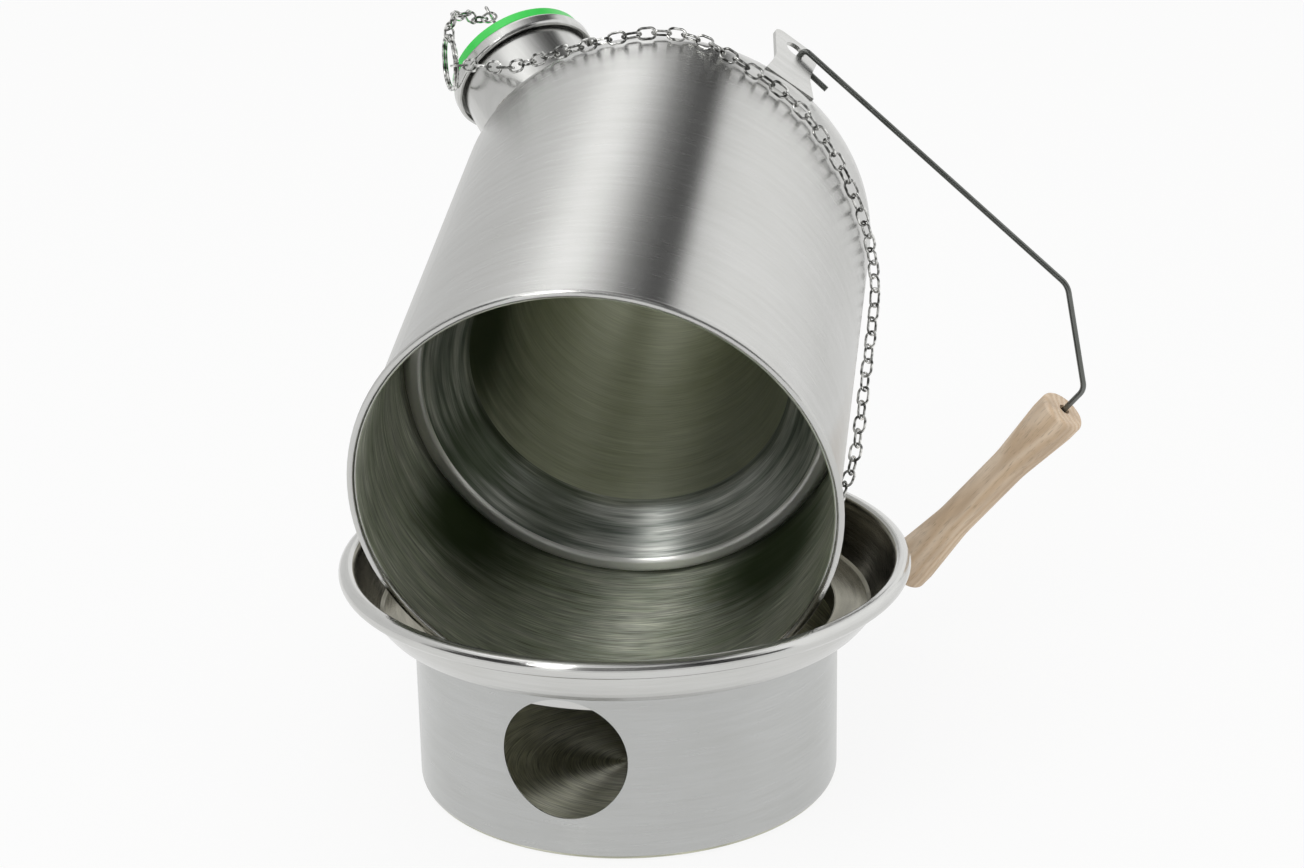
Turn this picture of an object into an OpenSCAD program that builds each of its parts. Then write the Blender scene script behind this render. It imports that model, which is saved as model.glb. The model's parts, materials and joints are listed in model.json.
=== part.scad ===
// Storm kettle leaning in its fire base, with hinged bail, chained stopper and wooden grip.
// The kettle is drawn upright in its own frame and then leaned by kettle_place().

/* [Fire base] */
// Outside radius of the fire drum
drum_r = 69; // [60:0.5:80]
// Sheet thickness of the drum
drum_sheet = 0.55; // [0.4:0.05:1.2]
// Bend radius at the drum's floor
drum_corner = 3; // [1:0.5:8]
// Height of the seat the upright kettle stands on
seat_z = 59.6; // [45:0.2:80]
// Radius where the seat turns up into the collar wall
seat_r = 79.8; // [76:0.2:84]
// Outside radius of the rolled lip
lip_r = 92.5; // [86:0.5:100]
// Radius of the lip's roll
lip_roll = 2.75; // [1.5:0.05:4]
// Height of the middle of the lip's roll
lip_z = 74; // [66:0.5:90]
// Outward bulge of the collar wall
wall_sag = 0.8; // [0:0.1:2]
// Length of the neck that plugs into the drum
neck_l = 8.6; // [4:0.2:16]
// Radius of the air hole
air_r = 20; // [10:0.5:22]
// Height of the air hole's centre
air_z = 33.8; // [24:0.2:40]
// Direction of the air hole, from the front towards the right
air_turn = -16.5; // [-60:0.5:60]

/* [Kettle body] */
// Thickness of the kettle's sheet
sheet_t = 0.6; // [0.4:0.05:1.2]
// Outside radius of the body wall
body_r = 72.7; // [66:0.1:76]
// Radius of the bead rolled on the open rim
bead_roll = 1.2; // [0.8:0.05:2]
// Height of the seam between wall and shoulder
seam_h = 168; // [140:0.5:169]
// Height where the wall and the shoulder cone would meet
shoulder_h = 176.8; // [160:0.2:190]
// Bend radius of the shoulder
shoulder_bend = 15; // [4:0.5:20]
// Distance of the ridge on the jacket floor from the wall's outside
ridge_in = 4.9; // [3.4:0.1:12]
// Height of the ridge above the rim
ridge_h = 62; // [40:0.5:80]
// Half width of the ridge
ridge_w = 2.4; // [1.5:0.1:2.6]
// Height of the step between wall and ridge
ridge_step = 6.5; // [4:0.1:10]
// Width of the hem that joins the jacket floor to the wall
floor_hem = 8; // [4:0.5:12]
// Height of the slope between ridge and flue
slope_h = 14; // [6:0.5:24]
// Radius where the slope meets the flue
flue_r = 53; // [40:0.5:60]
// Inside radius of the chimney
chimney_r = 27; // [20:0.5:32]
// Height of the chimney's mouth above the rim
chimney_top = 250; // [230:1:270]
// Radius of the roll on the chimney's mouth
chimney_roll = 1.8; // [1:0.1:3]
// Length of the shoulder's neck round the chimney
neck_up = 6; // [3:0.5:12]

/* [Spout] */
// Angle between the spout's axis and the kettle's axis
spout_tilt = 40.84; // [25:0.1:55]
// Distance of the spout's mouth line inside the wall
spout_in = 7.3; // [2:0.1:14]
// Height of the spout's mouth line
spout_h = 208; // [200:0.5:216]
// Outside radius of the spout's tube
spout_r = 24.3; // [18:0.1:26]
// Outside radius of the spout's rolled lip
spout_lip_r = 26.8; // [20:0.1:29]
// Height of the spout's rolled lip
spout_lip_h = 5.05; // [3:0.05:7]
// Width of the dark groove under the lip
groove_w = 1.2; // [0.6:0.1:1.8]
// Height of the lip's rolled edge above the mouth line
hem_h = 0.6; // [0.2:0.1:2]
// Length of the spout's tube below the mouth line
spout_depth = 28; // [20:0.5:34]

/* [Stopper] */
// Radius of the stopper's flange
flange_r = 25.5; // [20:0.1:28]
// Thickness of the stopper's flange
flange_t = 4; // [2:0.1:7]
// Length of the plug below the flange
plug_l = 14; // [8:0.5:18]
// Clearance between plug and spout bore
plug_gap = 0.5; // [0.3:0.05:1.2]
// Height of the boss on top of the flange
boss_h = 5; // [2:0.5:7]
// Radius of the boss
boss_r = 8; // [5:0.5:10]
// Height of the eye's ring centre above the flange
eye_h = 23.8; // [16:0.1:30]
// Middle radius of the eye's ring
eye_r = 2.7; // [2:0.1:4]
// Thickness of the eye's wire
eye_wire = 1.3; // [0.8:0.1:2]
// Depth of the eye's shank in the boss
eye_depth = 3.9; // [2:0.1:6]

/* [Ears and bail] */
// Distance of the ear's outer face from the kettle's wall
ear_out = 2.9; // [1.9:0.1:6]
// Thickness of the ear plate
ear_t = 1.5; // [1:0.1:2.5]
// Half width of the ear's head
ear_w = 9.4; // [8:0.1:12]
// Half width of the ear's waist
ear_waist = 6.6; // [5:0.1:8]
// Sideways flare of the ear's rear edge
ear_flare = 0.8; // [0:0.1:2]
// Height of the ear's foot below the shoulder's corner
ear_foot = 11; // [8:0.5:16]
// Height of the ear's top edge
ear_top = 198.2; // [195:0.2:204]
// Height of the ear's hole
ear_hole_h = 191; // [186:0.2:194]
// Radius of the ear's hole
ear_hole_r = 3.7; // [2.6:0.1:4.5]
// Thickness of the bail wire
bail_wire_d = 2; // [1.6:0.1:2.2]
// Swing of the bail away from the kettle's axis
bail_swing = 109.7; // [60:0.1:118]
// Distance from pivot to the first bend
bail_leg = 120.8; // [100:0.2:140]
// Distance from pivot to the grip
bail_reach = 149.6; // [130:0.2:170]
// Distance of the bail's first bend outside the kettle's wall
bail_out = 7.3; // [6.3:0.1:17]
// Half width of the bail at its second bend
bail_neck = 56; // [50:0.2:70]
// Length of the hooked stub behind the ear
stub_l = 14.6; // [8:0.2:18]
// Length of the wooden grip
grip_l = 91; // [70:0.5:100]
// Radius of the grip at its ends
grip_end_r = 8.5; // [7:0.1:11]
// Radius of the grip at its waist
grip_waist_r = 6.35; // [5:0.05:9]
// Half length of the grip's straight waist
grip_waist_l = 16; // [8:0.5:24]
// Length of the grip's thick ends
grip_end_l = 7; // [4:0.5:12]
// Radius of the recess at the grip's ends
grip_recess_r = 2.05; // [1.4:0.05:3]
// Depth of that recess
grip_recess_l = 4; // [2:0.5:8]

/* [Chain] */
// Thickness of the chain's wire
link_wire = 0.9; // [0.6:0.05:1.1]
// Outside length of a link
link_l = 7.2; // [6:0.1:8]
// Outside width of a link
link_w = 4.8; // [4:0.1:6]
// Distance between links
link_pitch = 5.3; // [4.4:0.05:6]
// Height of the chain lug above the rim
lug_h = 60; // [40:1:80]
// Distance of the lug's hole from the kettle's wall
lug_out = 4.4; // [3.6:0.1:7]
// Width of the lug's plate
lug_w = 6; // [4.5:0.1:9]
// Thickness of the lug's plate
lug_t = 1.5; // [0.8:0.1:2]
// Radius of the lug's round foot
lug_foot_r = 6; // [4:0.5:10]
// Thickness of the lug's foot
lug_foot_t = 1.2; // [0.8:0.1:2]
// Radius of the lug's hole
lug_hole = 1.4; // [0.8:0.05:1.6]
// Middle radius of the ring in the lug
end_ring_r = 2.6; // [2:0.05:4]
// Middle radius of the split ring
ring_r = 9.6; // [7:0.1:12]
// Thickness of the split ring's wire
ring_wire = 1; // [0.7:0.05:1.3]

/* [Hidden] */
$fn = 64;

// Where the wall of the leaning kettle reaches lowest, how far it leans, and where the spout points
rim_low = [-5.922, -41.044, 42.786];
lean_heading = -8.20;
lean_angle = -75.37;
lean_spin = -142.5;
lean_up = [sin(lean_heading) * cos(lean_angle), -cos(lean_heading) * cos(lean_angle),
    -sin(lean_angle)];
lean_at = rim_low + body_r * lean_up;

// Gap left between pieces of one body that touch
seam_gap = 0.05;
// Gap left where the loose bail wire bears in the ear's hole
hook_gap = 0.3;
// Gaps beside the ear, to the bail's leg and to its hooked stub
leg_gap = 1.4;
stub_gap = 0.5;
// Running clearance between the bail wire and the grip's bore
grip_gap = 0.06;
// Gap round the eye's shank in the boss
eye_gap = 0.02;
// Gap between the stopper's flange and the spout's lip
seat_gap = 0.05;

neck_r = drum_r - drum_sheet - seam_gap - sheet_t;
ridge_r = body_r - ridge_in;
spout_x = body_r - spout_in;
ear_face = body_r + ear_out;
ear_low = shoulder_h - ear_foot;
bail_w = body_r + bail_out;
lip_centre = lip_r - lip_roll;
cone_tan = tan(90 - spout_tilt);
neck_bore = chimney_r + sheet_t + seam_gap;
throat_h = shoulder_h + (body_r - neck_bore - sheet_t) / cone_tan;
flue_end = unit([chimney_r - flue_r, throat_h - ridge_h - slope_h]);
flue_lap = 3.5;
// How far round the lip's sheet is rolled, and in how many steps it is drawn
roll_turn = 305;
roll_steps = 30;
spout_bore = spout_r - sheet_t;
lip_top = hem_h + spout_lip_h;
flange_z = lip_top + seat_gap;
bail_dir = [-sin(bail_swing), cos(bail_swing)];
pin_off = ear_hole_r - bail_wire_d / 2 - hook_gap;
pin = [pin_off * bail_dir[0], ear_hole_h + pin_off * bail_dir[1]];
leg_x = ear_face + leg_gap + bail_wire_d / 2;
stub_x = ear_face - ear_t - stub_gap - bail_wire_d / 2;

// Hand-chosen points of the chain: turn from the spout, height above the rim, distance from wall
free_points = [[-1.26, 188.02, 18.75], [3.03, 184.04, 13.85], [6.84, 180.97, 9.05],
    [10.84, 177.62, 5.62], [14.9, 175.4, 4.2], [18.3, 173.6, 3.5], [22.3, 171.9, 2.9], [26, 170.6, 2.7]];
front_points = [[26, 170.6, 2.7], [31.3, 168.6, 2.5], [37, 168.2, 2.5], [44, 168.8, 2.5],
    [50, 170.4, 2.5], [56, 171.2, 2.5], [62, 170.2, 2.5], [68, 167.4, 2.5], [74.7, 162.6, 2.5],
    [81.9, 159, 2.5]];
side_points = [[81.9, 159, 2.5], [88, 157.2, 2.5], [93.1, 155.5, 2.5], [99.6, 152.4, 2.5],
    [106, 148.4, 2.5], [113.2, 145, 2.5], [120.8, 142.4, 2.5], [130, 141.6, 2.5],
    [139, 141.8, 2.6]];
back_points = [[139, 141.8, 2.6], [147, 140.6, 3.5], [152, 135, 3.9], [156.5, 126, 4.5],
    [162, 116, 5.7], [168, 104, 8.1], [174, 90, 10.7], [178.5, 76, 9.9], [180, 64.4, 6.3]];

// Points of the short tether from the stopper's eye to the split ring, from the eye's centre
tether_points = [[1.37, -1.45, 0.03], [-2.58, -6.24, -1.46], [-6.14, -10.28, 0.85],
    [-8.89, -15.34, 2.81], [-10.69, -20.14, 2.91], [-11.89, -24.64, 2.41], [-12.49, -31.04, 1.11],
    [-12.59, -35.24, -2.89]];

// Where the split ring hangs from the eye's centre, and how far it is turned from facing the side
ring_drop = [-12.54, -34.2, -11.03];
ring_turn = 16;
// Turn about the spout's axis that shows the eye edge-on to the front
eye_turn = 34.2;
// Lean of the ring in the lug away from the kettle's axis
end_lean = 22.2;

function unit(v) = v / norm(v);
function turned(v) = [v[1], -v[0]];

// Points of an arc of radius r that rounds the corner b between a and c
function corner(a, b, c, r, n = 6) =
    let (u = unit(a - b), v = unit(c - b), half = acos(max(-1, min(1, u * v))) / 2,
        middle = b + unit(u + v) * r / sin(half),
        start = b + u * r / tan(half) - middle,
        sweep = 180 - 2 * half,
        side = u[0] * v[1] - u[1] * v[0] > 0 ? -1 : 1)
    [for (i = [0:n]) let (a1 = side * sweep * i / n)
        middle + [start[0] * cos(a1) - start[1] * sin(a1), start[0] * sin(a1) + start[1] * cos(a1)]];

// A path of [x, y, corner radius] points with every corner rounded
function rounded(p, n = 6) = [for (i = [0:len(p) - 1])
    each (i == 0 || i == len(p) - 1 || p[i][2] == 0) ? [[p[i][0], p[i][1]]]
        : corner([p[i - 1][0], p[i - 1][1]], [p[i][0], p[i][1]], [p[i + 1][0], p[i + 1][1]],
            p[i][2], n)];

// Outline of a sheet of thickness t that lies on the right of the path p
function sheet(p, t) = concat(p, [for (k = [len(p) - 1:-1:0])
    let (a = k == 0 ? p[1] - p[0] : p[k] - p[k - 1],
        b = k == len(p) - 1 ? a : p[k + 1] - p[k],
        m = unit(unit(a) + unit(b)))
    p[k] + turned(m) * t / (turned(m) * turned(unit(a)))]);

// Points of an arc from a to b that bulges to the right by sag
function bulge(a, b, sag, n = 8) =
    let (c = norm(b - a), r = c * c / 8 / sag + sag / 2, half = asin(c / 2 / r),
        right = turned(unit(b - a)), middle = (a + b) / 2 - right * (r - sag))
    [for (i = [0:n]) let (w = -half + 2 * half * i / n)
        middle + right * r * cos(w) + unit(b - a) * r * sin(w)];

// Smooth curve through points p, sampled n times between neighbours
function smooth(p, n = 8) = [for (i = [0:len(p) - 2]) for (j = [0:n - 1])
    let (t = j / n, a = p[max(0, i - 1)], b = p[i], c = p[i + 1], d = p[min(len(p) - 1, i + 2)])
    0.5 * (2 * b + (c - a) * t + (2 * a - 5 * b + 4 * c - d) * t * t
        + (3 * b - a - 3 * c + d) * t * t * t)];
function with_end(p) = concat(smooth(p), [p[len(p) - 1]]);
function to_xyz(p) = [for (q = p) let (r = body_r + q[2]) [r * cos(q[0]), r * sin(q[0]), q[1]]];
function run(p) = [for (i = 0, s = 0; i < len(p);
    s = s + (i < len(p) - 1 ? norm(p[i + 1] - p[i]) : 0), i = i + 1) s];

function turn_z(p, a) = [p[0] * cos(a) - p[1] * sin(a), p[0] * sin(a) + p[1] * cos(a), p[2]];
function turn_x(p, a) = [p[0], p[1] * cos(a) - p[2] * sin(a), p[1] * sin(a) + p[2] * cos(a)];
function turn_y(p, a) = [p[0] * cos(a) + p[2] * sin(a), p[1], p[2] * cos(a) - p[0] * sin(a)];

// Where a point of the upright kettle or of the spout's own frame lies once the kettle leans
function of_kettle(p) = lean_at + turn_z(turn_x(turn_z(p, lean_spin), lean_angle), lean_heading);
function of_spout(p) = of_kettle([spout_x, 0, spout_h] + turn_y(p, spout_tilt));

eye_at = of_spout([0, 0, flange_z + flange_t + eye_h]);
free_path = to_xyz(with_end(free_points));
front_path = to_xyz(with_end(front_points));
side_path = to_xyz(with_end(side_points));
back_path = to_xyz(with_end(back_points));

// Point at distance s along the path p whose running lengths are l
function along(p, l, s) =
    let (k = max([for (i = [0:len(l) - 2]) l[i] <= s ? i : 0]))
    p[k] + (p[k + 1] - p[k]) * (s - l[k]) / (l[k + 1] - l[k]);

module kettle_place() {
    translate(lean_at) rotate([0, 0, lean_heading]) rotate([lean_angle, 0, 0])
        rotate([0, 0, lean_spin]) children();
}

module spout_place() {
    kettle_place() translate([spout_x, 0, spout_h]) rotate([0, spout_tilt, 0]) children();
}

module bail_place() {
    kettle_place() translate([pin[0], 0, pin[1]]) rotate([0, 90 - bail_swing, 0])
        rotate([0, 0, 90]) children();
}

module steel() {
    color([0.72, 0.73, 0.72]) children();
}

module base_drum() {
    inner = drum_r - drum_sheet;
    top = seat_z - sheet_t;
    steel() difference() {
        rotate_extrude($fn = 128) polygon(concat([[0, 0]],
            rounded([[drum_r - 9, 0, 0], [drum_r, 0, drum_corner], [drum_r, top, 0]]),
            rounded([[inner, top, 0], [inner, drum_sheet, drum_corner - drum_sheet],
                [drum_r - 9, drum_sheet, 0]]),
            [[0, drum_sheet]]));
        rotate([0, 0, air_turn]) translate([0, 0, air_z]) rotate([90, 0, 0])
            cylinder(r = air_r, h = drum_r + 10, $fn = 96);
    }
}

module base_collar() {
    left = lip_centre - lip_roll;
    path = concat(
        [[neck_r, seat_z - neck_l], [neck_r, seat_z - 0.65], [neck_r + 0.2, seat_z - 0.2],
            [neck_r + 0.65, seat_z]],
        [[seat_r - 1.2, seat_z]],
        bulge([seat_r, seat_z + 0.7], [left - 0.12, lip_z - 1], wall_sag),
        [for (i = [0:roll_steps]) let (turn = 180 - roll_turn * i / roll_steps)
            [lip_centre + lip_roll * cos(turn), lip_z + lip_roll * sin(turn)]]);
    steel() rotate_extrude($fn = 128) polygon(sheet(path, sheet_t));
}

module body_shell() {
    steel() kettle_place() rotate_extrude($fn = 128) union() {
        translate([body_r - sheet_t, bead_roll]) square([sheet_t, seam_h - bead_roll]);
        translate([body_r + bead_roll - 0.1, bead_roll]) circle(r = bead_roll, $fn = 32);
    }
}

function shoulder_line() = rounded([[body_r, seam_h, 0], [body_r, shoulder_h, shoulder_bend],
    [neck_bore + sheet_t, throat_h, 2], [neck_bore + sheet_t, throat_h + neck_up, 0]], 8);

// The shoulder's solid envelope, grown by g, that trims the spout's foot
module shoulder_solid(g) {
    rotate_extrude($fn = 128) polygon(concat([[0, seam_h]],
        [for (q = shoulder_line()) q + [g, g]], [[0, throat_h + neck_up + g]]));
}

module shoulder_top() {
    path = shoulder_line();
    steel() kettle_place() difference() {
        rotate_extrude($fn = 128) polygon(sheet([for (i = [len(path) - 1:-1:0]) path[i]], sheet_t));
        translate([spout_x, 0, spout_h]) rotate([0, spout_tilt, 0])
            translate([0, 0, -1.6 * spout_depth]) cylinder(r = spout_bore, h = 1.6 * spout_depth,
                $fn = 96);
    }
}

module jacket_floor() {
    wall = body_r - sheet_t - seam_gap;
    out = ridge_r + ridge_w;
    inn = ridge_r - ridge_w;
    top = ridge_h + slope_h;
    step_h = ridge_h + ridge_step;
    path = rounded([[wall, step_h + floor_hem, 0], [wall, step_h, 0.8], [out, step_h, 0.5],
        [out, ridge_h, ridge_w - 0.2], [inn, ridge_h, ridge_w - 0.2], [flue_r, top, 5],
        [flue_r + flue_end[0] * flue_lap, top + flue_end[1] * flue_lap, 0]], 8);
    color([0.55, 0.56, 0.55]) kettle_place() rotate_extrude($fn = 128) polygon(sheet(path, sheet_t));
}

module flue() {
    start = [flue_r, ridge_h + slope_h] + flue_end * flue_lap;
    path = rounded([[start[0], start[1], 0], [chimney_r, throat_h, 12],
        [chimney_r, chimney_top - 1, 0]], 8);
    color([0.5, 0.51, 0.5]) kettle_place() rotate_extrude($fn = 128) polygon(sheet(path, sheet_t));
}

module chimney_collar() {
    inner = neck_bore + sheet_t + seam_gap;
    roll_at = inner + chimney_roll;
    steel() kettle_place() rotate_extrude($fn = 96) union() {
        translate([inner, throat_h + 1.6]) square([sheet_t, chimney_top - chimney_roll - throat_h - 1.6]);
        translate([roll_at, chimney_top - chimney_roll]) difference() {
            circle(r = chimney_roll, $fn = 32);
            circle(r = chimney_roll - sheet_t, $fn = 32);
            polygon([[0, 0], [-5, -1], [-2, -5]]);
        }
    }
}

module spout_tube() {
    hem = spout_r + groove_w;
    path = rounded([[spout_bore, -spout_depth, 0], [spout_bore, lip_top, 1.4], [spout_lip_r, lip_top, 1.5],
        [spout_lip_r, hem_h, 1.3], [hem, hem_h, 0]], 6);
    steel() kettle_place() difference() {
        translate([spout_x, 0, spout_h]) rotate([0, spout_tilt, 0])
            rotate_extrude($fn = 96) polygon(sheet(path, sheet_t));
        shoulder_solid(seam_gap);
    }
}

// Outline of the ear plate, seen from outside, with the kettle's axis up
module ear_outline() {
    waist_h = (ear_top + ear_low) / 2 - 4;
    difference() {
        polygon(rounded([[-ear_w - ear_flare, ear_low, 0], [-ear_waist - ear_flare, waist_h, 14],
            [-ear_w - ear_flare / 2, ear_top - ear_flare, 3], [ear_w, ear_top, 3.2],
            [ear_waist, waist_h, 14], [ear_w, ear_low, 0]], 8));
        translate([0, ear_hole_h]) circle(r = ear_hole_r, $fn = 48);
    }
}

module ear() {
    inner = body_r + seam_gap;
    half_turn = 12;
    union() {
        translate([0, ear_face, 0]) rotate([90, 0, 0]) linear_extrude(height = ear_t) ear_outline();
        intersection() {
            rotate([0, 0, 90 - half_turn]) rotate_extrude(angle = 2 * half_turn, $fn = 128)
                translate([0, ear_low]) polygon([[inner, -4], [ear_face - ear_t / 2, -1.6],
                    [ear_face, 1], [ear_face, 8], [ear_face - ear_t, 10.5], [inner, 7]]);
            translate([0, ear_face + 5, ear_low]) rotate([90, 0, 0]) linear_extrude(height = 20)
                polygon(rounded([[-ear_w - ear_flare, -6, 0], [-ear_w - ear_flare, 0, 8],
                    [-ear_waist - ear_flare, 12, 0], [ear_waist, 12, 0], [ear_w, 0, 8],
                    [ear_w, -6, 0]], 6));
        }
    }
}

module ear_near() {
    steel() kettle_place() ear();
}

module ear_far() {
    steel() kettle_place() mirror([0, 1, 0]) ear();
}

module chain_lug() {
    inner = body_r + seam_gap;
    steel() kettle_place() rotate([0, 0, 180]) translate([0, 0, lug_h]) union() {
        intersection() {
            rotate([0, 0, -6]) rotate_extrude(angle = 12, $fn = 128)
                translate([inner, -lug_foot_r]) square([lug_foot_t, 2 * lug_foot_r]);
            translate([inner - 4, 0, 0]) rotate([0, 90, 0]) cylinder(r = lug_foot_r, h = 10, $fn = 48);
        }
        rotate([90, 0, 0]) translate([0, 0, -lug_t / 2]) linear_extrude(height = lug_t)
            difference() {
                union() {
                    translate([inner + lug_foot_t / 2, -lug_w / 2])
                        square([lug_out - lug_foot_t / 2, lug_w]);
                    translate([inner + lug_out, 0]) circle(d = lug_w, $fn = 48);
                }
                translate([inner + lug_out, 0]) circle(r = lug_hole, $fn = 32);
            }
    }
}

// A round wire along flat points [x, y, bend radius], built from rods and bends
module wire(p, d) {
    n = len(p);
    lap = 0.1;
    function xy(i) = [p[i][0], p[i][1]];
    function cut(i) = (i == 0 || i == n - 1) ? 0
        : let (half = acos(unit(xy(i - 1) - xy(i)) * unit(xy(i + 1) - xy(i))) / 2) p[i][2] / tan(half);
    union() {
        for (i = [0:n - 2]) {
            along_it = unit(xy(i + 1) - xy(i));
            from = xy(i) + along_it * cut(i);
            length = norm(xy(i + 1) - xy(i)) - cut(i) - cut(i + 1);
            translate([from[0], from[1], 0]) rotate([0, 0, atan2(along_it[1], along_it[0])])
                rotate([0, 90, 0]) translate([0, 0, i == 0 ? 0 : -lap])
                    cylinder(d = d - 0.02, h = length + (i == 0 || i == n - 2 ? lap : 2 * lap), $fn = 32);
        }
        for (i = [1:n - 2]) {
            a = unit(xy(i - 1) - xy(i));
            b = unit(xy(i + 1) - xy(i));
            half = acos(a * b) / 2;
            middle = xy(i) + unit(a + b) * p[i][2] / sin(half);
            first = xy(i) + (a[0] * b[1] - a[1] * b[0] > 0 ? b : a) * p[i][2] / tan(half) - middle;
            translate([middle[0], middle[1], 0]) rotate([0, 0, atan2(first[1], first[0])])
                rotate_extrude(angle = 180 - 2 * half, $fn = 64)
                    translate([p[i][2], 0]) circle(d = d, $fn = 32);
        }
    }
}

module bail_wire() {
    half = [[stub_x, stub_l, 0], [stub_x, 0, 2], [leg_x, 0, 2], [bail_w, bail_leg, 7],
        [bail_neck, bail_reach, 5]];
    other = [for (i = [len(half) - 1:-1:0]) [-half[i][0], half[i][1], half[i][2]]];
    color([0.32, 0.34, 0.33]) bail_place() wire(concat(half, other), bail_wire_d);
}

module grip() {
    bore = bail_wire_d / 2 + grip_gap;
    h = grip_l / 2;
    shoulder = h - grip_end_l;
    outer = rounded([[grip_recess_r, -h, 0], [grip_end_r, -h, 1.8], [grip_end_r, -shoulder, 12],
        [grip_waist_r, -grip_waist_l, 60], [grip_waist_r, grip_waist_l, 60],
        [grip_end_r, shoulder, 12], [grip_end_r, h, 1.8], [grip_recess_r, h, 0]], 8);
    deep = h - grip_recess_l;
    color([0.8, 0.69, 0.55]) bail_place() translate([0, bail_reach, 0]) rotate([0, 90, 0])
        rotate_extrude($fn = 64) polygon(concat(outer, [[grip_recess_r, deep], [bore, deep],
            [bore, -deep], [grip_recess_r, -deep]]));
}

module stopper_body() {
    top = flange_z + flange_t;
    plug_r = spout_bore - plug_gap;
    path = rounded([[0, flange_z - plug_l, 0], [plug_r - 1, flange_z - plug_l, 1.2],
        [plug_r, flange_z - 0.2, 0], [plug_r, flange_z, 0], [flange_r, flange_z, 0.6],
        [flange_r, top, 0.9], [boss_r + 0.6, top, 1], [boss_r - 0.6, top + boss_h, 1.2],
        [0, top + boss_h, 0]], 4);
    color([0.27, 0.85, 0.35]) spout_place() difference() {
        rotate_extrude($fn = 96) polygon(path);
        translate([0, 0, top + boss_h - eye_depth - seam_gap])
            cylinder(r = eye_wire / 2 + eye_gap, h = eye_depth + 2, $fn = 32);
    }
}

module stopper_eye() {
    top = flange_z + flange_t;
    foot = top + boss_h - eye_depth;
    color([0.6, 0.6, 0.6]) spout_place() rotate([0, 0, eye_turn]) union() {
        translate([0, 0, foot]) cylinder(d = eye_wire, h = top + eye_h - eye_r - foot, $fn = 32);
        translate([0, 0, top + eye_h]) rotate([90, 0, 0]) rotate_extrude($fn = 48)
            translate([eye_r, 0]) circle(d = eye_wire, $fn = 24);
    }
}

// One chain link lying in the x-y plane, long side on x
module link(l, w, d) {
    r = (w - d) / 2;
    s = (l - w) / 2;
    union() {
        for (side = [-1, 1]) {
            translate([-s, side * r, 0]) rotate([0, 90, 0]) cylinder(d = d, h = 2 * s, $fn = 16);
            translate([side * s, 0, 0]) rotate([0, 0, side > 0 ? -90 : 90])
                rotate_extrude(angle = 180, $fn = 32) translate([r, 0]) circle(d = d, $fn = 16);
        }
    }
}

// A link at point c that points along t, its flat side turned by roll from the direction out
module link_at(c, t, out, roll) {
    az = atan2(t[1], t[0]);
    el = asin(t[2]);
    y_loc = [-sin(az), cos(az), 0];
    z_loc = [-sin(el) * cos(az), -sin(el) * sin(az), cos(el)];
    translate(c) rotate([0, -el, az]) rotate([atan2(out * z_loc, out * y_loc) + roll, 0, 0])
        link(link_l, link_w, link_wire);
}

function links_in(p) = let (l = run(p)) ceil(l[len(l) - 1] / link_pitch);

// A run of links along the path p, starting with link number first; a link's flat side is
// turned half way from the kettle's wall if on_wall, else from the front
module chain(p, first = 0, on_wall = true) {
    l = run(p);
    n = links_in(p);
    step = l[len(l) - 1] / n;
    for (i = [0:n - 1]) {
        a = along(p, l, step * i);
        b = along(p, l, step * (i + 1) - 0.001);
        c = (a + b) / 2;
        link_at(c, unit(b - a), on_wall ? unit([c[0], c[1], 0]) : [0, -1, 0],
            (i + first) % 2 == 0 ? 45 : -45);
    }
}

module chain_metal() {
    color([0.65, 0.65, 0.64]) children();
}

module tether_links() {
    chain_metal() translate(eye_at) chain(with_end(tether_points), 1, false);
}

module split_ring() {
    chain_metal() translate(eye_at + ring_drop) rotate([0, 0, ring_turn]) rotate([0, 90, 0]) union() {
        for (side = [-1, 1])
            translate([0, 0, side * ring_wire * 0.48]) rotate_extrude($fn = 64)
                translate([ring_r, 0]) circle(d = ring_wire, $fn = 24);
    }
}

module chain_free() {
    chain_metal() kettle_place() chain(free_path, 0);
}

module chain_front() {
    chain_metal() kettle_place() chain(front_path, links_in(free_path));
}

module chain_side() {
    chain_metal() kettle_place() chain(side_path, links_in(free_path) + links_in(front_path));
}

module chain_back() {
    chain_metal() kettle_place() chain(back_path,
        links_in(free_path) + links_in(front_path) + links_in(side_path));
}

module chain_end_ring() {
    chain_metal() kettle_place()
        translate([-body_r - seam_gap - lug_out - end_ring_r * sin(end_lean), 0,
            lug_h + end_ring_r * cos(end_lean)])
        rotate([0, 90 - end_lean, 0]) rotate_extrude($fn = 48) translate([end_ring_r, 0])
            circle(d = link_wire, $fn = 16);
}

base_drum();
base_collar();
body_shell();
shoulder_top();
jacket_floor();
flue();
chimney_collar();
spout_tube();
ear_near();
ear_far();
chain_lug();
bail_wire();
grip();
stopper_body();
stopper_eye();
tether_links();
split_ring();
chain_free();
chain_front();
chain_side();
chain_back();
chain_end_ring();
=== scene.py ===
# %% [markdown]
# A chimney storm kettle leans in its round fire base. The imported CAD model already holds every
# rigid piece at its real size, so this script loads it as a fixed frame and adds what the eye
# wants: brushed steel, turned wood, moulded plastic, a weld bead and the chain's free links.
# Blender works in metres, so a size in millimetres is written times MM.

# %% Load the frame
import json
import math
from collections import namedtuple
from functools import partial

import bpy
import numpy as np
from mathutils import Matrix, Vector


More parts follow.
